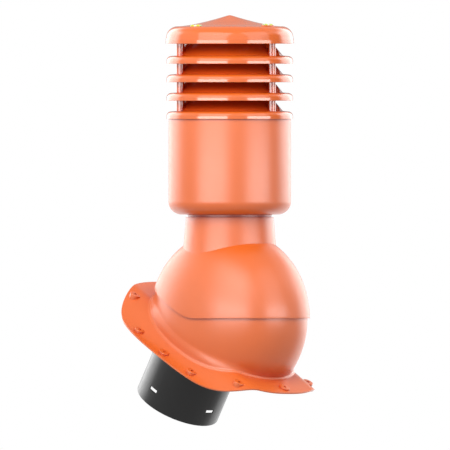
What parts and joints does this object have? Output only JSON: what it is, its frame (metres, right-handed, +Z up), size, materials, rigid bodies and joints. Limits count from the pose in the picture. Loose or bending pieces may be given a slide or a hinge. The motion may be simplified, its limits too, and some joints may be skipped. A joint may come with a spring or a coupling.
{
  "type": "roof ventilation chimney",
  "caption": "Plastic roof ventilation chimney: louvred capped stack on a tilting dome with a wavy roof flange and a round duct pipe below.",
  "frame": {"origin": "on the roof plane that the flange's lowest underside lies in, straight below the centre of the dome along the roof's normal", "axes": "+Z up along the stack, +X level and down the slope, +Y across the slope"},
  "size_m": [0.3471, 0.287, 0.7176],
  "materials": {
    "orange_plastic": "satin gloss terracotta moulding",
    "black_plastic": "satin black pipe",
    "level_fluid": "clear yellow-green spirit level"
  },
  "bodies": {
    "roof_base": {"roof_flange": "orange_plastic", "duct_pipe": "black_plastic"},
    "stack": {"upper_dome": "orange_plastic", "hood_body": "orange_plastic", "louvre_ring_1": "orange_plastic", "louvre_ring_2": "orange_plastic", "louvre_ring_3": "orange_plastic", "louvre_ring_4": "orange_plastic", "cap": "orange_plastic", "level_vial_1": "level_fluid", "level_vial_2": "level_fluid"}
  },
  "joints": [
    {"name": "pitch_adjust", "type": "hinge", "parent": "roof_base", "child": "stack", "pos_m": [0.03847, 0, 0.06403], "axis": [0, 1, 0], "range_deg": [-4, 26]}
  ]
}
